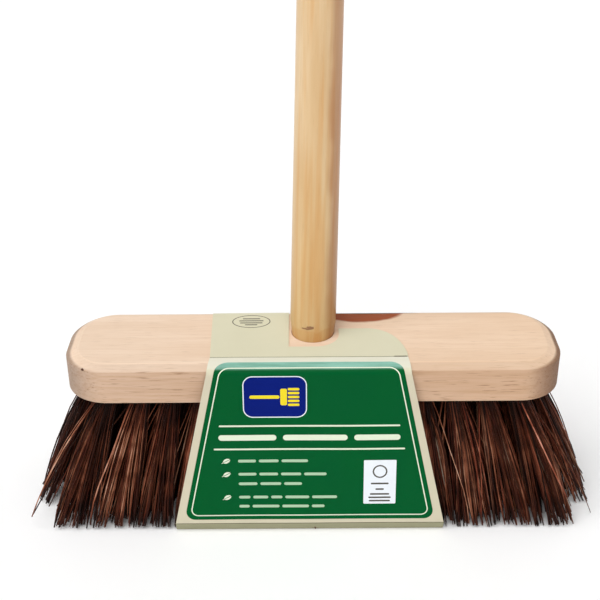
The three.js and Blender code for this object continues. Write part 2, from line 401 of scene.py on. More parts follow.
def stock_wood():
    material, tree, shader = new_material("stock_wood", Specular_IOR_Level=0.2)
    place = add_node(tree, "ShaderNodeTexCoord").outputs["Object"]
    axes = add_node(tree, "ShaderNodeSeparateXYZ", {"Vector": place}).outputs
    edge = stock_high.z - EDGE_DROP
    side = ramp_between(tree, axes["Z"], edge + 0.0006, edge - 0.0006)
    from_middle = arithmetic(tree, "ABSOLUTE", axes["X"])
    rounding = ramp_between(tree, from_middle, stock_high.x - CORNER_RADIUS, stock_high.x - 0.002)
    end = arithmetic(tree, "MULTIPLY", side, rounding)
    grain = add_node(tree, "ShaderNodeGroup", node_tree=wood_grain)
    tree.links.new(place, grain.inputs["Vector"])
    grain.inputs["Pale"].default_value = STOCK_PALE
    grain.inputs["Dark"].default_value = STOCK_DARK
    grain.inputs["Pore"].default_value = STOCK_PORE
    grain.inputs["Drift"].default_value = 0.5
    tree.links.new(ramp_between(tree, side, 0, 1, 0.45, 1.0), grain.inputs["Streaks"])
    tree.links.new(ramp_between(tree, side, 0, 1, 0.35, 0.75), grain.inputs["Pores"])
    bevelled = ramp_between(tree, axes["Z"], stock_high.z - 0.0001, stock_high.z - 0.0007)
    not_side = arithmetic(tree, "SUBTRACT", bevelled, side)
    not_side = arithmetic(tree, "MULTIPLY", not_side, arithmetic(tree, "SUBTRACT", 1.0, rounding))
    colour = tinted(tree, not_side, grain.outputs["Color"], BEVEL_TINT)
    # Painted shade: the upright sides are darkened against the top, for the shade they get from the
    # lamp overhead.
    colour = tinted(tree, side, colour, SIDE_SHADE_TINT)
    # Painted shade: the rounded ends are darkened to a cool grey, as if shaded and lit only by the pale
    # room.
    colour = tinted(tree, end, colour, END_SHADE_TINT)
    # Painted shade: the right end, away from the lamp, is darkened further to a deeper brown.
    shaded_right_end = arithmetic(tree, "MULTIPLY", end, ramp_between(tree, axes["X"], 0.12, 0.135))
    colour = tinted(tree, shaded_right_end, colour, RIGHT_END_SHADE_TINT)
    warmth = ramp_between(tree, axes["X"], stock_low.x, stock_high.x)
    colour = tinted(tree, warmth, colour, WARM_END_TINT)
    back_edge = stock_top + Vector((0.031, 0.0325, 0))
    colour = add_knot(
        tree, place, colour, back_edge, KNOT_RADII, 0.16, KNOT_COLOUR, KNOT_COLOUR
    )
    seam = stock_top + Vector((0.038, 0.0337, -0.001))
    colour = add_knot(
        tree, place, colour, seam, SEAM_RADII, 0.30, KNOT_RIM_COLOUR, KNOT_RIM_COLOUR
    )
    # A small dark spot on the front bevel near the left end.
    bevel_spot = stock_top + Vector((-0.1385, -0.0305, -0.0035))
    colour = add_knot(
        tree, place, colour, bevel_spot, BEVEL_SPOT_RADII, 0.9, KNOT_RIM_COLOUR, KNOT_RIM_COLOUR
    )
    tree.links.new(colour, shader.inputs["Base Color"])
    tree.links.new(grain.outputs["Roughness"], shader.inputs["Roughness"])
    bump = add_node(
        tree, "ShaderNodeBump",
        {"Height": grain.outputs["Height"], "Strength": 0.35, "Distance": 0.0004},
    )
    tree.links.new(bump.outputs[0], shader.inputs["Normal"])
    return material


stock = add_piece("stock_block", stock_block(), stock_wood(), "head", "stock_wood", "broom_stock")
cutter_mesh = bpy.data.meshes.new("stock_drills")
stock_cutters().to_mesh(cutter_mesh)
cutter = bpy.data.objects.new("stock_drills", cutter_mesh)
bpy.context.scene.collection.objects.link(cutter)
drilling = add_modifier(stock, "BOOLEAN", operation="DIFFERENCE", solver="EXACT", object=cutter)
bpy.context.view_layer.update()
drilled_stock = stock.evaluated_get(bpy.context.evaluated_depsgraph_get())
drilled = bpy.data.meshes.new_from_object(drilled_stock)
stock.modifiers.remove(drilling)
stock.data = drilled
bpy.data.objects.remove(cutter)
drilled.shade_smooth()
drilled.set_sharp_from_angle(angle=math.radians(20))
add_modifier(
    stock, "BEVEL", width=0.0010, segments=3, limit_method="ANGLE", angle_limit=math.radians(20),
    harden_normals=True,
)

# ---- Handle ------------------------------------------------------------------------------------
# A turned softwood dowel with a thin satin varnish. Its lower end is whittled to a taper and driven
# into the socket with no nail or screw, and its upper end is rounded over for the hand.

HANDLE_RADIUS = 0.0143
TAPER_TIP_RADIUS = 0.0113
TAPER_LENGTH = 0.026
HANDLE_IN_SOCKET = 0.019
HANDLE_LENGTH = 1.22
DOME_HEIGHT = 0.009
HANDLE_BOW = 0.0012
HANDLE_SIDES = 64
SHAFT_STEPS = 30
DOME_STEPS = 10
HANDLE_PALE = (0.77, 0.585, 0.36, 1)
HANDLE_DARK = (0.65, 0.42, 0.20, 1)
HANDLE_PORE = (0.28, 0.13, 0.05, 1)
HANDLE_SHADED_SIDE_TINT = (0.66, 0.48, 0.36, 1)
HANDLE_FOOT_TINT = (0.88, 0.82, 0.64, 1)
HANDLE_ORANGE_TINT = (0.99, 0.87, 0.72, 1)
HANDLE_TAPER_TINT = (0.97, 0.88, 0.76, 1)
SMEAR_RADII = (0.0080, 0.005, 0.0012)
TORN_GRAIN_RADII = (0.0038, 0.004, 0.0014)


def handle_dowel():
    top = HANDLE_LENGTH - HANDLE_IN_SOCKET
    start = TAPER_LENGTH - HANDLE_IN_SOCKET
    profile = [
        (0, -HANDLE_IN_SOCKET),
        (TAPER_TIP_RADIUS - 0.001, -HANDLE_IN_SOCKET),
        (TAPER_TIP_RADIUS, 0.001 - HANDLE_IN_SOCKET),
        (HANDLE_RADIUS - 0.0004, start - 0.0015),
        (HANDLE_RADIUS, start + 0.001),
    ]
    for step in range(1, SHAFT_STEPS + 1):
        profile.append((HANDLE_RADIUS, start + (top - DOME_HEIGHT - start) * step / SHAFT_STEPS))
    for step in range(1, DOME_STEPS + 1):
        angle = math.radians(90 * step / DOME_STEPS)
        height = top - DOME_HEIGHT + DOME_HEIGHT * math.sin(angle)
        profile.append((HANDLE_RADIUS * max(0, math.cos(angle)), height))
    bm = bmesh.new()
    verts = [bm.verts.new((radius, 0, height)) for radius, height in profile]
    for a, b in zip(verts, verts[1:]):
        bm.edges.new((a, b))
    bmesh.ops.spin(
        bm, geom=bm.verts[:] + bm.edges[:], axis=(0, 0, 1), cent=(0, 0, 0),
        angle=math.tau, steps=HANDLE_SIDES, use_merge=True,
    )
    bmesh.ops.remove_doubles(bm, verts=bm.verts, dist=1e-6)
    bmesh.ops.recalc_face_normals(bm, faces=bm.faces)
    for vert in bm.verts:
        share = max(0, vert.co.z) / top
        vert.co.x += HANDLE_BOW * math.sin(math.pi * share)
    turn = handle_axis.to_track_quat("Z", "Y").to_matrix().to_4x4()
    bmesh.ops.transform(bm, matrix=Matrix.Translation(SOCKET_MOUTH) @ turn, verts=bm.verts)
    return bm


def handle_wood():
    material, tree, shader = new_material("handle_wood", Coat_Weight=0.25, Coat_Roughness=0.22)
    place = add_node(tree, "ShaderNodeTexCoord").outputs["Object"]
    along = Vector((1, 0, 0)).rotation_difference(handle_axis).to_euler()
    turned = add_node(
        tree, "ShaderNodeMapping", {"Vector": place, "Location": SOCKET_MOUTH, "Rotation": along},
        vector_type="TEXTURE",
    )
    grain = add_node(tree, "ShaderNodeGroup", node_tree=wood_grain)
    tree.links.new(turned.outputs[0], grain.inputs["Vector"])
    grain.inputs["Pale"].default_value = HANDLE_PALE
    grain.inputs["Dark"].default_value = HANDLE_DARK
    grain.inputs["Pore"].default_value = HANDLE_PORE
    grain.inputs["Drift"].default_value = 0.9
    grain.inputs["Streaks"].default_value = 0.45
    grain.inputs["Pores"].default_value = 0.10
    axes = add_node(tree, "ShaderNodeSeparateXYZ", {"Vector": place}).outputs
    above = arithmetic(tree, "SUBTRACT", axes["Z"], SOCKET_MOUTH.z)
    # Painted shade: the handle's right side, away from the lamp, is darkened along a wavering line.
    drawn = arithmetic(tree, "MULTIPLY", above, handle_axis.x / handle_axis.z)
    aside = arithmetic(tree, "SUBTRACT", axes["X"], drawn)
    wander = add_node(
        tree, "ShaderNodeTexNoise", {"Vector": place, "Scale": 14.0, "Detail": 3.0}
    ).outputs["Fac"]
    wandered = arithmetic(tree, "ADD", aside, arithmetic(tree, "MULTIPLY", wander, 0.012))
    shaded_side = ramp_between(tree, wandered, 0.0105, 0.0165)
    long_streaks = add_node(
        tree, "ShaderNodeMapping", {"Vector": turned.outputs[0], "Scale": (9, 260, 260)}
    )
    streak = add_node(
        tree, "ShaderNodeTexNoise", {"Vector": long_streaks.outputs[0], "Scale": 1.0, "Detail": 2.0}
    ).outputs["Fac"]
    orange = ramp_between(tree, streak, 0.44, 0.66)
    colour = tinted(tree, orange, grain.outputs["Color"], HANDLE_ORANGE_TINT)
    colour = tinted(tree, shaded_side, colour, HANDLE_SHADED_SIDE_TINT)
    shoulder = arithmetic(tree, "ADD", above, arithmetic(tree, "MULTIPLY", streak, 0.006))
    colour = tinted(tree, ramp_between(tree, shoulder, 0.0105, 0.0090), colour, HANDLE_TAPER_TINT)
    colour = tinted(tree, ramp_between(tree, above, 0.16, 0.0), colour, HANDLE_FOOT_TINT)
    front = SOCKET_MOUTH + handle_axis * 0.0085 + Vector((-0.002, -HANDLE_RADIUS, 0.001))
    smear = front + Vector((-0.003, 0, -0.001))
    colour = add_knot(tree, place, colour, smear, SMEAR_RADII, 1.1, HANDLE_PORE, HANDLE_PORE)
    colour = add_knot(tree, place, colour, front, TORN_GRAIN_RADII, 0.75, HANDLE_PORE, HANDLE_PORE)
    tree.links.new(colour, shader.inputs["Base Color"])
    shader.inputs["Roughness"].default_value = 0.42
    bump = add_node(
        tree, "ShaderNodeBump",
        {"Height": grain.outputs["Height"], "Strength": 0.15, "Distance": 0.0003},
    )
    tree.links.new(bump.outputs[0], shader.inputs["Normal"])
    return material


handle = add_piece("handle_dowel", handle_dowel(), handle_wood(), "handle", "handle_wood", "handle")
handle.data.set_sharp_from_angle(angle=math.radians(40))

# ---- Fibre tufts -------------------------------------------------------------------------------
# Bundles of stiff palm fibre, each folded double, pushed into its hole and held by a wire anchor.
# Below the stock the fibres fan out, cross each other, and end in a rough trimmed line.

FIBRES_PER_TUFT = 145
FIBRE_STEPS = 8
FIBRE_SIDES = 5
BUNDLE_RADIUS = 0.0033
STRAY_SHARE = 0.07
STRAY_REACH = 0.003
FAN_START = 0.137
TRIM_HEIGHT = 0.0004
OUTER_ROW_FROM = 0.02
CLUMP_ROWS = 3
CLUMP_PULL = 0.22
THIN_RADIUS = 0.00028
THICK_RADIUS = 0.00058
FIBRE_TAPER = 0.12
MIDDLE_TONE = 0.415
TONE_SPREAD = 0.18
PALEST_TONE = 0.80
OUTER_SHADOW = (0.42, 0.70)
INNER_SHADOW = (0.85, 0.50)
TIP_SHADOW = 0.18
FIBRE_TONES = (
    (0.00, (0.010, 0.0020, 0.0006, 1)),
    (0.30, (0.046, 0.0092, 0.0034, 1)),
    (0.52, (0.122, 0.031, 0.0130, 1)),
    (0.70, (0.29, 0.105, 0.054, 1)),
    (0.86, (0.55, 0.29, 0.185, 1)),
    (1.00, (0.82, 0.60, 0.48, 1)),
)
FIBRE_RED_TINT = (1.0, 0.72, 0.72, 1)
FIBRE_GREY_TINT = (0.68, 0.86, 0.95, 1)
fibre_random = random.Random(5)
card_low, card_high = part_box("card_sleeve")
CARD_PANEL_TOP = 0.0371
CARD_PANEL_BOTTOM = card_high.y
CARD_BEND_HEIGHT = 0.106
CARD_KNEE_HEIGHT = 0.006
CARD_CLEARANCE = 0.0013


def fibre_blank():
    """A straight fibre, one unit long and one unit in radius, cut into steps along its length."""
    bm = bmesh.new()
    bmesh.ops.create_cone(
        bm, cap_ends=True, segments=FIBRE_SIDES, radius1=1, radius2=1, depth=1,
        matrix=Matrix.Translation((0, 0, 0.5)),
    )
    for step in range(1, FIBRE_STEPS):
        geom = bm.verts[:] + bm.edges[:] + bm.faces[:]
        height = (0, 0, step / FIBRE_STEPS)
        bmesh.ops.bisect_plane(bm, geom=geom, plane_co=height, plane_no=(0, 0, 1))
    mesh = bpy.data.meshes.new("fibre_blank")
    bm.to_mesh(mesh)
    bm.free()
    return mesh


def inside_card(place):
    """The place, moved back so that no fibre pokes through the card's upright panels."""
    share = (place.z - CARD_KNEE_HEIGHT) / (CARD_BEND_HEIGHT - CARD_KNEE_HEIGHT)
    panel = CARD_PANEL_BOTTOM + (CARD_PANEL_TOP - CARD_PANEL_BOTTOM) * min(1, max(0, share))
    limit = panel - CARD_CLEARANCE
    if card_low.x - 0.01 < place.x < card_high.x + 0.01:
        place.y = max(-limit, min(limit, place.y))
    return place


def fibre_tuft(node, blank):
    """A tuft's fibres, each with its tone, and with painted shadow that darkens them up towards the
    stock and at the tips.
    """
    bm = bmesh.new()
    bm.verts.layers.float.new("tone_and_shadow")
    bm.verts.layers.float.new("redness")
    root, low, high = tuft_ends(node)
    end = (low + high) / 2
    half = (high - low) / 2
    pick = fibre_random
    clumps = []
    for row in range(CLUMP_ROWS):
        for column in range(CLUMP_ROWS):
            across = (2 * column + pick.uniform(0, 2)) / CLUMP_ROWS - 1
            along = (2 * row + pick.uniform(0, 2)) / CLUMP_ROWS - 1
            clumps.append((Vector((across, along)), pick.gauss(0, 0.06), pick.uniform(0, 0.0017)))
    tuft_shade = pick.gauss(0, 0.05)
    outer_row = abs(end.y) > OUTER_ROW_FROM
    shadow_reach, shadow_depth = OUTER_SHADOW if outer_row else INNER_SHADOW
    for _ in range(FIBRES_PER_TUFT):
        a = pick.uniform(-1, 1)
        b = pick.uniform(-1, 1)
        if outer_row:
            b = math.copysign(1, end.y) * (1 - 2 * pick.random() ** 2.1)
        in_circle = Vector((a * math.sqrt(1 - b * b / 2), b * math.sqrt(1 - a * a / 2), 0))
        start = root + in_circle * BUNDLE_RADIUS
        aim = Vector((a + pick.gauss(0, 0.45), b + pick.gauss(0, 0.25)))
        aim = Vector((max(-1, min(1, aim.x)), max(-1.12, min(1.12, aim.y))))
        clump, clump_shade, clump_lift = min(clumps, key=lambda c: (c[0] - aim).length)
        aim.x += (clump.x - aim.x) * CLUMP_PULL
        lift = TRIM_HEIGHT + clump_lift + abs(pick.gauss(0, 0.0006))
        tone = MIDDLE_TONE + tuft_shade + clump_shade + pick.gauss(0, TONE_SPREAD)
        radius = pick.uniform(THIN_RADIUS, THICK_RADIUS)
        if pick.random() < STRAY_SHARE:
            aim += Vector((pick.gauss(0, 1.2), pick.gauss(0, 0.4)))
            lift += abs(pick.gauss(0, 0.010))
            tone += abs(pick.gauss(0.12, 0.18))
            radius *= 0.85
        tip = Vector((end.x + aim.x * half.x, end.y + aim.y * half.y, lift))
        fall = (stock_low.z - lift) / stock_low.z
        side = FAN_START + (cad_bounds[1].x + STRAY_REACH - FAN_START) * fall
        tip.x = max(-side, min(side, tip.x))
        tip.y = max(-CARD_PANEL_BOTTOM, min(CARD_PANEL_BOTTOM, tip.y))
        run = tip - start
        bow = Vector((run.x, run.y, 0)) * pick.uniform(-0.02, 0.10)
        bow += Vector((pick.gauss(0, 0.0010), pick.gauss(0, 0.0010), 0))
        wave = Vector((pick.gauss(0, 0.0004), pick.gauss(0, 0.0004), 0))
        redness = pick.gauss(0, 0.5)
        tone = min(tone, PALEST_TONE)
        turn = run.to_track_quat("Z", "Y")
        fibre = bmesh.new()
        fibre.from_mesh(blank)
        fibre_tone_and_shadow = fibre.verts.layers.float.new("tone_and_shadow")
        fibre_redness = fibre.verts.layers.float.new("redness")
        for vert in fibre.verts:
            share = vert.co.z
            middle = start + run * share + bow * 4 * share * (1 - share)
            middle += wave * math.sin(math.tau * 1.5 * share)
            across = turn @ Vector((vert.co.x, vert.co.y, 0)) * radius * (1 - FIBRE_TAPER * share)
            vert.co = inside_card(middle) + across
            # Painted shadow: the tone is lowered near the stock, where the block and the other tufts
            # shade the fibres, and at the tips.
            shadow_under_stock = shadow_depth * max(0, 1 - share / shadow_reach) ** 1.3
            shadow_at_tip = TIP_SHADOW * max(0, share / 0.2 - 4)
            vert[fibre_tone_and_shadow] = tone - (shadow_under_stock + shadow_at_tip)
            vert[fibre_redness] = redness
        shaped = bpy.data.meshes.new("fibre")
        fibre.to_mesh(shaped)
        fibre.free()
        bm.from_mesh(shaped)
        bpy.data.meshes.remove(shaped)
    return bm


def fibre_material():
    material, tree, shader = new_material("fibre", Specular_IOR_Level=0.11)
    tone_and_shadow = add_node(tree, "ShaderNodeAttribute", attribute_name="tone_and_shadow").outputs["Fac"]
    redness = add_node(tree, "ShaderNodeAttribute", attribute_name="redness").outputs["Fac"]
    place = add_node(tree, "ShaderNodeTexCoord").outputs["Object"]
    blotch = add_node(tree, "ShaderNodeTexNoise", {"Vector": place, "Scale": 90.0, "Detail": 2.0})
    lift = ramp_between(tree, blotch.outputs["Fac"], 0.3, 0.7, -0.10, 0.10)
    tone = arithmetic(tree, "ADD", tone_and_shadow, lift)
    ramp = add_node(tree, "ShaderNodeValToRGB", {"Fac": tone})
    stops = ramp.color_ramp.elements
    stops[0].color = FIBRE_TONES[0][1]
    stops[1].color = FIBRE_TONES[-1][1]
    for position, colour in FIBRE_TONES[1:-1]:
        stops.new(position).color = colour
    red = tinted(tree, ramp_between(tree, redness, 0, 1), ramp.outputs["Color"], FIBRE_RED_TINT)
    grey = tinted(tree, ramp_between(tree, redness, 0, -1), red, FIBRE_GREY_TINT)
    tree.links.new(grey, shader.inputs["Base Color"])
    rough = ramp_between(tree, blotch.outputs["Fac"], 0.3, 0.7, 0.36, 0.56)
    tree.links.new(rough, shader.inputs["Roughness"])
    return material


blank = fibre_blank()
fibre = fibre_material()
for node in tuft_nodes:
    bundle_name = node.replace("tuft", "fibres")
    add_piece(bundle_name, fibre_tuft(node, blank), fibre, "head", "fibre", node)

# ---- Card sleeve -------------------------------------------------------------------------------
# One strip of coated carton board, creased and folded round the stock and the fibres, and glued
# down the back. A notch for the handle is cut in its top panel, which leaves an ear on each side.

CARD_THICKNESS = 0.0005
CREASE_TO_MIDDLE = 0.0245
CARD_TOP = card_high.z - 0.0002
FOOT_TO_MIDDLE = 0.0485
BACK_CREASE = 0.0270
BACK_BEND = 0.0356
TAB_END = Vector((0.0374, 0.0920))
BACK_PANEL_END = Vector((0.0364, 0.1040))
BEND_STEPS = 12
CUT_PITCH = 0.004
RIPPLE = 0.0003
CARD_FOOT = card_low.z + 0.0005
CARD_CREAM = (0.70, 0.67, 0.50, 1)
CARD_CREAM_DARK = (0.64, 0.61, 0.44, 1)
# The cream's colour at the front bend is a painted highlight.
CARD_BEND_HIGHLIGHT = (0.75, 0.735, 0.62, 1)
CARD_FRONT_SHADE_TINT = (0.97, 0.93, 0.95, 1)
HEM_SHADE_TINT = (0.55, 0.58, 0.50, 1)
CREASE_AND_SHADOW_COLOUR = (0.16, 0.15, 0.09, 1)


def bend(start, corner, finish):
    """A round bend from start to finish, whose tangents meet at the corner."""
    return interpolate_bezier(
        start, start.lerp(corner, 2 / 3), finish.lerp(corner, 2 / 3), finish, BEND_STEPS
    )


def sleeve_path():
    """The outside of the folded card as (y, z) points: tab, top, front, bottom and back."""
    path = [TAB_END]
    path += bend(
        Vector((BACK_BEND, CARD_BEND_HEIGHT)),
        Vector((BACK_BEND, CARD_TOP - 0.0011)),
        Vector((BACK_CREASE, CARD_TOP)),
    )
    path += bend(
        Vector((-CREASE_TO_MIDDLE, CARD_TOP)),
        Vector((-CARD_PANEL_TOP, CARD_TOP)),
        Vector((-CARD_PANEL_TOP, CARD_BEND_HEIGHT)),
    )
    path.append(Vector((-CARD_PANEL_BOTTOM, CARD_KNEE_HEIGHT)))
    path.append(Vector((-FOOT_TO_MIDDLE, CARD_FOOT)))
    path.append(Vector((FOOT_TO_MIDDLE, CARD_FOOT)))
    path.append(Vector((CARD_PANEL_BOTTOM, CARD_KNEE_HEIGHT)))
    path.append(BACK_PANEL_END)
    return path


path = sleeve_path()
CREASE_INDEX = 1 + BEND_STEPS
lengths = [0.0]
for here, there in zip(path, path[1:]):
    lengths.append(lengths[-1] + (there - here).length)
crease_at = lengths[CREASE_INDEX]
lengths = [length - crease_at for length in lengths]
FRONT_KNEE = lengths[2 * BEND_STEPS + 1]
BACK_KNEE = lengths[2 * BEND_STEPS + 4]


def outward(index):
    """The outward normal of the stretch of the path that starts at a point."""
    step = path[index + 1] - path[index]
    return Vector((step.y, -step.x)).normalized()


def fold(flat):
    """A point (u, v, lift) on the flat card, moved to its place on the folded one."""
    index = 0
    while index < len(path) - 2 and flat.y > lengths[index + 1] + 1e-9:
        index += 1
    share = (flat.y - lengths[index]) / (lengths[index + 1] - lengths[index])
    spot = path[index].lerp(path[index + 1], share)
    here = outward(index)
    before = outward(max(0, index - 1))
    after = outward(min(len(path) - 2, index + 1))
    start_normal = (here + before).normalized()
    end_normal = (here + after).normalized()
    normal = start_normal.lerp(end_normal, share).normalized()
    held_flat = min(1, max(0, (spot.y - 0.001) / CARD_KNEE_HEIGHT))
    wave = noise.noise(Vector((flat.x * 22, flat.y * 16, 3.7))) * RIPPLE * held_flat
    spot = spot + normal * (flat.z + wave)
    return Vector((flat.x, spot.x, spot.y))


def cut_sheet(bm, axis, extra=()):
    """Cuts a flat sheet across an axis on the grid that the card and all its inks share."""
    low = min(vert.co[axis] for vert in bm.verts)
    high = max(vert.co[axis] for vert in bm.verts)
    cuts = [at * CUT_PITCH for at in range(math.ceil(low / CUT_PITCH), math.ceil(high / CUT_PITCH))]
    cuts += [at for at in extra if low < at < high]
    normal = Vector((1, 0, 0)) if axis == 0 else Vector((0, 1, 0))
    for at in cuts:
        geom = bm.verts[:] + bm.edges[:] + bm.faces[:]
        bmesh.ops.bisect_plane(bm, geom=geom, dist=1e-6, plane_co=normal * at, plane_no=normal)


def fold_sheet(bm, thickness):
    """Cuts a flat sheet, folds it round the broom, and thickens it inwards."""
    cut_sheet(bm, 0)
    cut_sheet(bm, 1, lengths)
    for vert in bm.verts:
        vert.co = fold(vert.co)
    bmesh.ops.solidify(bm, geom=bm.faces[:], thickness=-thickness)
    bmesh.ops.recalc_face_normals(bm, faces=bm.faces)


def flat_face(bm, points):
    """One face through flat points (u, v), turned so that it faces out once the card is folded."""
    made = bm.faces.new([bm.verts.new((u, v, 0)) for u, v in points])
    made.normal_update()
    if made.normal.z > 0:
        made.normal_flip()
    return made


def arc(middle, radius, start, finish, steps=10):
    """Points on a flat arc, with its angles in degrees."""
    angles = [math.radians(start + (finish - start) * step / steps) for step in range(steps + 1)]
    return [(middle[0] + radius * math.cos(a), middle[1] + radius * math.sin(a)) for a in angles]


TOP_LEFT = -0.0625
TOP_RIGHT = 0.0571
KNEE_LEFT = -0.0869
KNEE_RIGHT = 0.0815
EAR_LEFT = -0.0641
NOTCH_LEFT = -0.015
NOTCH_RIGHT = 0.0162
NOTCH_FRONT = -0.0122
NOTCH_CORNER = 0.0145
EAR_BACK = -0.034
EAR_FLAT_END = 0.035
EAR_ROUNDING = (0.0525, -0.032)
EAR_FRONT = -0.0045
FLARE_FROM = 0.014
FLARE_LEFT = -0.0643
FLARE_RIGHT = 0.0586


def card_blank():
    """The flat card, creased but not yet folded."""
    bm = bmesh.new()
    ear = interpolate_bezier(
        Vector((TOP_RIGHT, EAR_FRONT)),
        Vector((TOP_RIGHT, EAR_FRONT)).lerp(Vector(EAR_ROUNDING), 2 / 3),
        Vector((EAR_FLAT_END, EAR_BACK)).lerp(Vector(EAR_ROUNDING), 2 / 3),
        Vector((EAR_FLAT_END, EAR_BACK)),
        12,
    )
    notch_middle = (NOTCH_RIGHT - NOTCH_CORNER, NOTCH_FRONT - NOTCH_CORNER)
    outline = [(EAR_LEFT, lengths[0]), (EAR_LEFT, lengths[CREASE_INDEX - 1]), (TOP_LEFT, 0)]
    outline += [(FLARE_LEFT, FLARE_FROM), (KNEE_LEFT, FRONT_KNEE), (KNEE_LEFT, BACK_KNEE)]
    outline += [(TOP_LEFT, lengths[-1]), (TOP_RIGHT, lengths[-1])]
    outline += [(KNEE_RIGHT, BACK_KNEE), (KNEE_RIGHT, FRONT_KNEE), (FLARE_RIGHT, FLARE_FROM)]
    outline += [(TOP_RIGHT, 0)] + [(point.x, point.y) for point in ear]
    outline += [(NOTCH_RIGHT, EAR_BACK)]
    outline += arc(notch_middle, NOTCH_CORNER, 0, 90)
    outline += [(NOTCH_LEFT, NOTCH_FRONT), (NOTCH_LEFT, lengths[0])]
    flat_face(bm, outline)
    return bm


def bend_highlight_group():
    """Where the front bend is painted pale as a highlight, in patches, as a mask in the broom's own
    coordinates.
    """
    group = bpy.data.node_groups.new("bend_highlight", "ShaderNodeTree")
    group.interface.new_socket("Vector", in_out="INPUT", socket_type="NodeSocketVector")
    group.interface.new_socket("Mask", in_out="OUTPUT", socket_type="NodeSocketFloat")
    given = add_node(group, "NodeGroupInput")
    result = add_node(group, "NodeGroupOutput")
    axes = add_node(group, "ShaderNodeSeparateXYZ", {"Vector": given.outputs["Vector"]}).outputs
    in_front = ramp_between(group, axes["Y"], -CREASE_TO_MIDDLE, -CREASE_TO_MIDDLE - 0.0008)
    height = ramp_between(group, axes["Z"], CARD_TOP - 0.0028, CARD_TOP - 0.0012)
    streaks = add_node(
        group, "ShaderNodeMapping", {"Vector": given.outputs["Vector"], "Scale": (40, 300, 300)}
    )
    patchy = add_node(
        group, "ShaderNodeTexNoise", {"Vector": streaks.outputs[0], "Scale": 1.0, "Detail": 3.0}
    )
    highlight_patches = ramp_between(group, patchy.outputs["Fac"], 0.3, 0.6, 0.7, 1.0)
    mask = arithmetic(group, "MULTIPLY", arithmetic(group, "MULTIPLY", in_front, height), highlight_patches)
    group.links.new(mask, result.inputs["Mask"])
    return group


bend_highlight = bend_highlight_group()


def board_material(name, colour, other, highlight_colour=None, highlight_strength=0.9, roughness=0.38):
    """Coated board or the ink on it: a faint mottle, a fine tooth, and a painted highlight colour along
    the front bend.
    """
    material, tree, shader = new_material(name, Specular_IOR_Level=0.04)
    place = add_node(tree, "ShaderNodeTexCoord").outputs["Object"]
    cloud = add_node(tree, "ShaderNodeTexNoise", {"Vector": place, "Scale": 35.0, "Detail": 4.0})
    shown = colour_mix(tree, cloud.outputs["Fac"], colour, other)
    # Painted highlight: a paler colour along the front bend stands for the sheen of the coated board
    # there.
    if highlight_colour:
        highlight_patches = add_node(tree, "ShaderNodeGroup", node_tree=bend_highlight)
        tree.links.new(place, highlight_patches.inputs["Vector"])
        amount = arithmetic(tree, "MULTIPLY", highlight_patches.outputs["Mask"], highlight_strength)
        shown = colour_mix(tree, amount, shown, highlight_colour)
    tree.links.new(shown, shader.inputs["Base Color"])
    tooth = add_node(tree, "ShaderNodeTexNoise", {"Vector": place, "Scale": 1400.0, "Detail": 2.0})
    rough = ramp_between(tree, tooth.outputs["Fac"], 0.3, 0.7, roughness - 0.05, roughness + 0.07)
    tree.links.new(rough, shader.inputs["Roughness"])
    bump = add_node(
        tree, "ShaderNodeBump",
        {"Height": tooth.outputs["Fac"], "Strength": 0.10, "Distance": 0.0001},
    )
    tree.links.new(bump.outputs[0], shader.inputs["Normal"])
    return material


def card_material():
    material = board_material("card_cream", CARD_CREAM, CARD_CREAM_DARK, CARD_BEND_HIGHLIGHT)
    tree = material.node_tree
    shader = tree.nodes["Principled BSDF"]
    place = add_node(tree, "ShaderNodeTexCoord").outputs["Object"]
    axes = add_node(tree, "ShaderNodeSeparateXYZ", {"Vector": place}).outputs
    # Painted shade: the strip below the front knee, which faces down, is darkened.
    hem_shade = ramp_between(tree, axes["Z"], CARD_KNEE_HEIGHT + 0.0003, CARD_KNEE_HEIGHT - 0.0003)
    shown = shader.inputs["Base Color"].links[0].from_socket
    # Painted shade: below the top panel the board is made a little darker than on top.
    front = ramp_between(tree, axes["Z"], CARD_TOP - 0.002, CARD_TOP - 0.006)
    shown = tinted(tree, front, shown, CARD_FRONT_SHADE_TINT)
    tree.links.new(tinted(tree, hem_shade, shown, HEM_SHADE_TINT), shader.inputs["Base Color"])
    return material


card_bm = card_blank()
fold_sheet(card_bm, CARD_THICKNESS)
cream = card_material()
card = add_piece("card_board", card_bm, cream, "head", "card", "card_sleeve")
card.data.set_sharp_from_angle(angle=math.radians(25))

# ---- Print on the card -------------------------------------------------------------------------
# Inks laid flat on the board, in the order in which they are printed: a green panel with a pale
# inner line, then rules, word bars and leaves in a pale ink, a blue badge and a white label. An oval
# stamp lies on the top panel, and the creases are dark lines laid in the same way; a short dark bar
# at the right end of the top crease is a painted shadow under the ear's lifted edge.

INK_STEP = 0.00003
PANEL_TOP = 0.0052
PANEL_BOTTOM = 0.1138
PANEL_TOP_LEFT = -0.0581
PANEL_TOP_RIGHT = 0.0526
PANEL_FLARE = 0.2125
PANEL_CORNER = 0.0072
LINE_TOP = 0.0095
LINE_BOTTOM = 0.1112
LINE_INSET = 0.0029
LINE_CORNER = 0.0056
LINE_WIDTH = 0.0007
GREEN = (0.0003, 0.104, 0.021, 1)
GREEN_DEEP = (0.0006, 0.092, 0.026, 1)
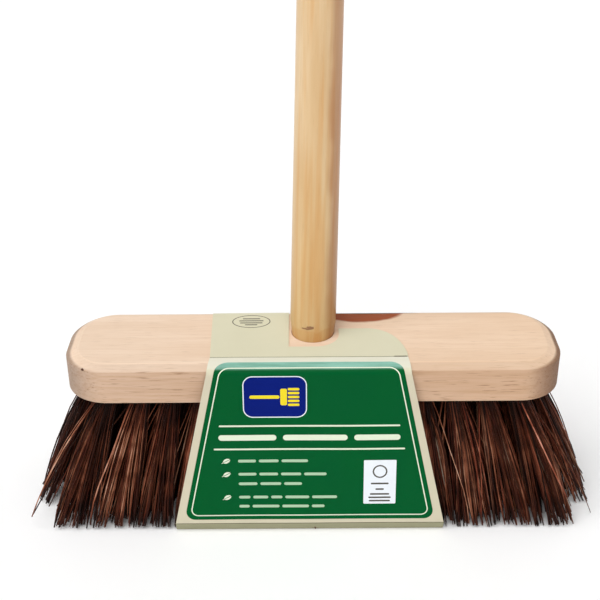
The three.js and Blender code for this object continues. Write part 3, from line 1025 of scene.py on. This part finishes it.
# The green's colour at the front bend is a painted highlight.
GREEN_BEND_HIGHLIGHT = (0.29, 0.56, 0.46, 1)
PALE_INK = (0.82, 0.88, 0.70, 1)
PALE_INK_DARK = (0.74, 0.82, 0.64, 1)
SMALL_PRINT_INK = (0.44, 0.62, 0.42, 1)
BLUE = (0.003, 0.014, 0.20, 1)
BLUE_DEEP = (0.002, 0.010, 0.15, 1)
YELLOW = (0.90, 0.72, 0.03, 1)
WHITE = (0.88, 0.92, 0.96, 1)
WHITE_DULL = (0.84, 0.88, 0.93, 1)
GREY_INK = (0.10, 0.09, 0.075, 1)
STAMP_INK = (0.14, 0.13, 0.10, 1)
print_random = random.Random(11)


def rounded(bm, points, radius, segments=6):
    """A flat polygon with its corners rounded."""
    made = flat_face(bm, points)
    bmesh.ops.bevel(
        bm, geom=list(made.verts), offset=radius, segments=segments, profile=0.5, affect="VERTICES",
        material=-1,
    )
    return bm


def outline_only(bm, faces, width):
    """Keeps a rim of a width inside some faces."""
    bmesh.ops.inset_region(bm, faces=faces, thickness=width, use_even_offset=True, use_boundary=True)
    bmesh.ops.delete(bm, geom=faces, context="FACES")


def bar(bm, left, right, middle, height, radius=None):
    """A flat bar along the card, with round ends unless a corner radius is given."""
    low, high = middle - height / 2, middle + height / 2
    corner = height * 0.49 if radius is None else radius
    return rounded(bm, [(left, low), (right, low), (right, high), (left, high)], corner, 4)


def ink(name, bm, layer, material):
    """Lays flat shapes on the card as one piece of ink, above the layers printed before it."""
    for vert in bm.verts:
        vert.co.z = INK_STEP * layer
    fold_sheet(bm, INK_STEP * 0.9)
    piece = add_piece(name, bm, material, "head", "card")
    piece.data.set_sharp_from_angle(angle=math.radians(25))
    return piece


def panel_corners(inset, top, bottom):
    """The corners of the trapezoid panel, moved in from its sides, between two places down the card."""
    corners = []
    for at in (top, bottom):
        spread = PANEL_FLARE * (at - PANEL_TOP) - inset
        corners.append((PANEL_TOP_LEFT - spread, PANEL_TOP_RIGHT + spread, at))
    (left, right, high), (low_left, low_right, low) = corners
    return [(left, high), (right, high), (low_right, low), (low_left, low)]


green_bm = rounded(bmesh.new(), panel_corners(0, PANEL_TOP, PANEL_BOTTOM), PANEL_CORNER, 10)
green_ink = board_material("green_ink", GREEN, GREEN_DEEP, GREEN_BEND_HIGHLIGHT, roughness=0.32)
ink("card_green_panel", green_bm, 1, green_ink)

pale = board_material("pale_ink", PALE_INK, PALE_INK_DARK)
line_bm = rounded(bmesh.new(), panel_corners(LINE_INSET, LINE_TOP, LINE_BOTTOM), LINE_CORNER, 10)
outline_only(line_bm, line_bm.faces[:], LINE_WIDTH)
ink("card_panel_line", line_bm, 2, pale)

RULES = ((0.0482, -0.0576, 0.0524), (0.0641, -0.0612, 0.0558))
HEADING_AT = 0.0562
HEADING_HEIGHT = 0.0038
HEADING_WORDS = ((-0.0582, -0.0228), (-0.0188, 0.0206), (0.0246, 0.0528))
TEXT_LEFT = -0.0466
TEXT_LINES = (
    (0.0723, -0.0036),
    (0.0815, 0.0078),
    (0.0883, -0.0074),
    (0.0978, 0.0144),
    (0.1043, 0.0066),
)
TEXT_HEIGHT = 0.0019
WORD_SPACE = 0.0018
RULE_HEIGHT = 0.0011
RULE_CORNER = 0.0004
LEAVES = (0.0723, 0.0817, 0.0980)
LEAF_AT = -0.0537
LEAF_LENGTH = 0.0050
LEAF_RADIUS = 0.0030
LEAF_TURN = math.radians(-28)

rules_bm = bmesh.new()
for at, left, right in RULES:
    bar(rules_bm, left, right, at, RULE_HEIGHT, RULE_CORNER)
for left, right in HEADING_WORDS:
    bar(rules_bm, left, right, HEADING_AT, HEADING_HEIGHT)
ink("card_heading_bars", rules_bm, 2, pale)

text_bm = bmesh.new()
for at, right in TEXT_LINES:
    start = TEXT_LEFT
    while start < right - 0.006:
        finish = start + print_random.uniform(0.006, 0.017)
        if finish > right - 0.008:
            finish = right
        bar(text_bm, start, finish, at, TEXT_HEIGHT)
        start = finish + WORD_SPACE
ink("card_text_bars", text_bm, 2, board_material("small_print", SMALL_PRINT_INK, SMALL_PRINT_INK))


def leaf(bm, at):
    """A pointed leaf in two halves with a bare rib between them, and a short stalk."""
    reach = math.degrees(math.asin(LEAF_LENGTH / 2 / LEAF_RADIUS))
    rise = LEAF_RADIUS * math.cos(math.radians(reach))
    turn = Matrix.Rotation(LEAF_TURN, 2)
    for side in (1, -1):
        edge = arc((0, -rise), LEAF_RADIUS, 90 - reach, 90 + reach, 8)
        shape = [turn @ Vector((u, side * (v + 0.00018))) for u, v in edge]
        flat_face(bm, [(LEAF_AT + spot.x, at + spot.y) for spot in shape])
    stalk = [(-0.0034, -0.00018), (-0.0024, -0.00018), (-0.0024, 0.00018), (-0.0034, 0.00018)]
    flat_face(bm, [(LEAF_AT + spot.x, at + spot.y) for spot in (turn @ Vector(uv) for uv in stalk)])


leaf_bm = bmesh.new()
for at in LEAVES:
    leaf(leaf_bm, at)
ink("card_leaves", leaf_bm, 2, pale)

BADGE_LEFT = -0.0427
BADGE_RIGHT = -0.0041
BADGE_TOP = 0.0149
BADGE_BOTTOM = 0.0425
BADGE_CORNER = 0.0060
BADGE_LINE_WIDTH = 0.0006


def rectangle(left, right, top, bottom):
    return [(left, top), (right, top), (right, bottom), (left, bottom)]


badge_corners = rectangle(BADGE_LEFT, BADGE_RIGHT, BADGE_TOP, BADGE_BOTTOM)
badge_bm = rounded(bmesh.new(), badge_corners, BADGE_CORNER, 8)
ink("card_badge_ground", badge_bm, 2, board_material("blue_ink", BLUE, BLUE_DEEP, roughness=0.32))
badge_line_bm = rounded(bmesh.new(), badge_corners, BADGE_CORNER, 8)
outline_only(badge_line_bm, badge_line_bm.faces[:], BADGE_LINE_WIDTH)
white = board_material("white_ink", WHITE, WHITE_DULL)
ink("card_badge_line", badge_line_bm, 3, white)

mark_bm = bmesh.new()
mark_at = (BADGE_TOP + BADGE_BOTTOM) / 2
bar(mark_bm, BADGE_LEFT + 0.0040, BADGE_RIGHT - 0.0165, mark_at, 0.0022)
bar(mark_bm, BADGE_RIGHT - 0.0160, BADGE_RIGHT - 0.0120, mark_at, 0.0110, 0.0010)
for row in range(5):
    bar(mark_bm, BADGE_RIGHT - 0.0115, BADGE_RIGHT - 0.0045, mark_at + (row - 2) * 0.0026, 0.0016)
ink("card_badge_mark", mark_bm, 3, board_material("yellow_ink", YELLOW, YELLOW))

LABEL_LEFT = 0.0308
LABEL_RIGHT = 0.0508
LABEL_TOP = 0.0720
LABEL_BOTTOM = 0.1029
LABEL_RING_RADIUS = 0.0046
LABEL_RING_WIDTH = 0.0009
LABEL_BARS = (
    (0.0165, 0.0055),
    (0.0205, 0.0026),
    (0.0240, 0.0060),
    (0.0264, 0.0070),
    (0.0288, 0.0066),
)
LABEL_BAR_HEIGHT = 0.0011
label_corners = rectangle(LABEL_LEFT, LABEL_RIGHT, LABEL_TOP, LABEL_BOTTOM)
ink("card_label_ground", rounded(bmesh.new(), label_corners, 0.0006, 3), 2, white)

grey = board_material("grey_ink", GREY_INK, GREY_INK)
label_middle = (LABEL_LEFT + LABEL_RIGHT) / 2
label_mark_bm = bmesh.new()
flat_face(label_mark_bm, arc((label_middle, LABEL_TOP + 0.0080), LABEL_RING_RADIUS, 0, 337.5, 15))
outline_only(label_mark_bm, label_mark_bm.faces[:], LABEL_RING_WIDTH)
for down, half_width in LABEL_BARS:
    left, right = label_middle - half_width, label_middle + half_width
    bar(label_mark_bm, left, right, LABEL_TOP + down, LABEL_BAR_HEIGHT)
ink("card_label_mark", label_mark_bm, 3, grey)

STAMP_MIDDLE = (-0.0390, -0.0431)
STAMP_RADII = (0.0122, 0.0080)
STAMP_BARS = ((-0.0034, 0.0056), (-0.0008, 0.0078), (0.0018, 0.0072), (0.0042, 0.0040))
STAMP_LINE_WIDTH = 0.0006
STAMP_BAR_HEIGHT = 0.0011
stamp_bm = bmesh.new()
stamp_u, stamp_v = STAMP_MIDDLE
stamp_points = []
for u, v in arc((0, 0), 1, 0, 350, 35):
    stamp_points.append((stamp_u + STAMP_RADII[0] * u, stamp_v + STAMP_RADII[1] * v))
flat_face(stamp_bm, stamp_points)
outline_only(stamp_bm, stamp_bm.faces[:], STAMP_LINE_WIDTH)
for down, half_width in STAMP_BARS:
    left, right = stamp_u - half_width, stamp_u + half_width
    bar(stamp_bm, left, right, stamp_v + down, STAMP_BAR_HEIGHT)
ink("card_stamp", stamp_bm, 1, board_material("stamp_ink", STAMP_INK, STAMP_INK))

CREASE_MARGIN = 0.0004
CREASE_CORNER = 0.00005
EAR_SHADOW_LENGTH = 0.0085

crease_bm = bmesh.new()
bar(crease_bm, TOP_LEFT, TOP_RIGHT, 0, 0.0004, CREASE_CORNER)
# Painted shadow: a short, thicker dark bar at the right end of the top crease, under the ear's lifted
# edge.
bar(crease_bm, TOP_RIGHT - EAR_SHADOW_LENGTH, TOP_RIGHT - CREASE_MARGIN, -0.0001, 0.0011, 0.0005)
bar(
    crease_bm, KNEE_LEFT + CREASE_MARGIN, KNEE_RIGHT - CREASE_MARGIN, FRONT_KNEE, 0.0006, CREASE_CORNER
)
crease_and_shadow_ink = board_material("crease_and_shadow_ink", CREASE_AND_SHADOW_COLOUR, CREASE_AND_SHADOW_COLOUR, roughness=0.6)
ink("card_creases_and_shadow", crease_bm, 1, crease_and_shadow_ink)
